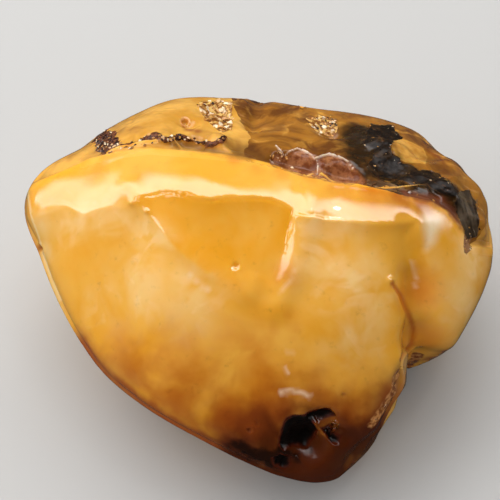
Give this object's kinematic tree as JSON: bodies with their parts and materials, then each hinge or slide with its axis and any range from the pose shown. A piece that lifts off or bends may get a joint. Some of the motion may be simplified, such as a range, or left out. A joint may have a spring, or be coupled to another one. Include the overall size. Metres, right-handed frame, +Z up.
{
  "type": "raw amber piece",
  "caption": "Polished lump of opaque butterscotch amber with rounded worn faces, one raw face in dark crust, and a flat foot to rest on.",
  "frame": {"origin": "on the surface the lump rests on, under the middle of its bounding box", "axes": "+X along the lump's length towards the grooved lobe, +Y to the back where the raw face slopes down, +Z up"},
  "size_m": [0.069, 0.059, 0.034],
  "materials": {
    "amber": "polished opaque amber, cream to egg-yolk yellow, with matt black-brown crust on the raw face"
  },
  "bodies": {
    "root": {"amber_lump": "amber"}
  },
  "joints": []
}
